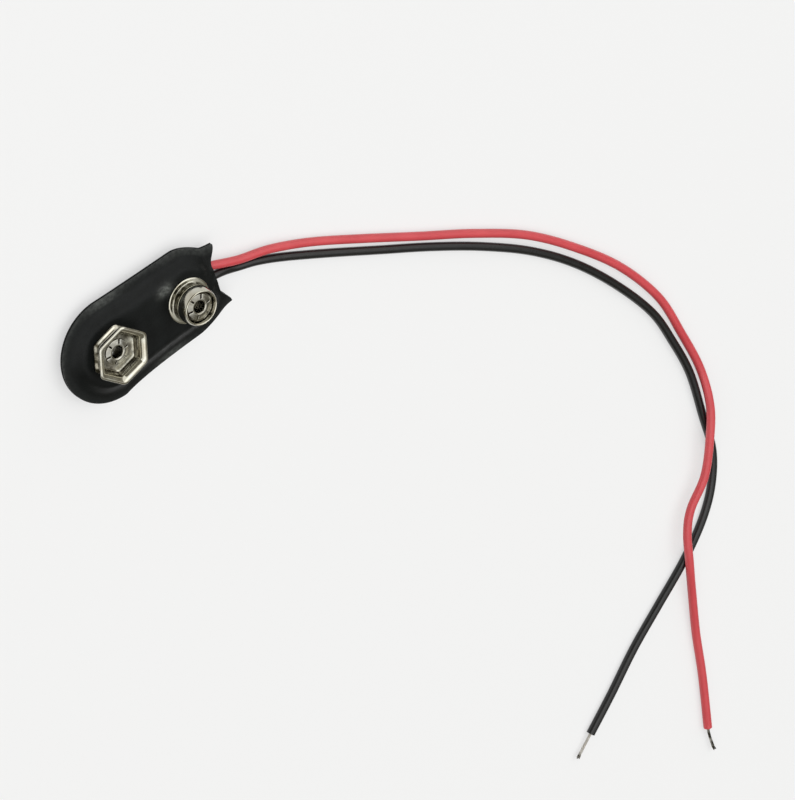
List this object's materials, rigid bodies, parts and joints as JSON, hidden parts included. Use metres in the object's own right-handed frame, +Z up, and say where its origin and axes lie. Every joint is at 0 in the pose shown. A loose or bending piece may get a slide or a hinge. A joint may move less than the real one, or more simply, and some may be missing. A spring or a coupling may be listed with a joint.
{
  "type": "battery snap connector",
  "caption": "Soft vinyl pad with a hexagonal socket and a round stud that snap onto a block battery, and a red and a black lead with bare ends.",
  "frame": {"origin": "middle of the pad's length and width, on its flat back, with the leads left out", "axes": "+X along the pad from the round end to the leads, +Z up along the axes of the socket and the stud"},
  "size_m": [0.0928, 0.1291, 0.0064],
  "materials": {
    "skin": "black grained vinyl with a soft sheen",
    "board": "plain brown fibre board",
    "plating": "bright nickel plating with a warm tone",
    "solder": "smooth grey solder",
    "core": "tinned stranded wire",
    "red_insulation": "glossy red insulation",
    "black_insulation": "glossy black insulation"
  },
  "bodies": {
    "root": {"top_cover": "skin", "back_cover": "skin", "board": "board", "socket_shell": "plating", "socket_rivet": "plating", "stud_shell": "plating", "stud_rivet": "plating", "red_solder": "solder", "black_solder": "solder", "red_joint_core": "core", "black_joint_core": "core", "red_lead": "red_insulation", "black_lead": "black_insulation", "red_bare_end": "core", "black_bare_end": "core"}
  },
  "joints": []
}
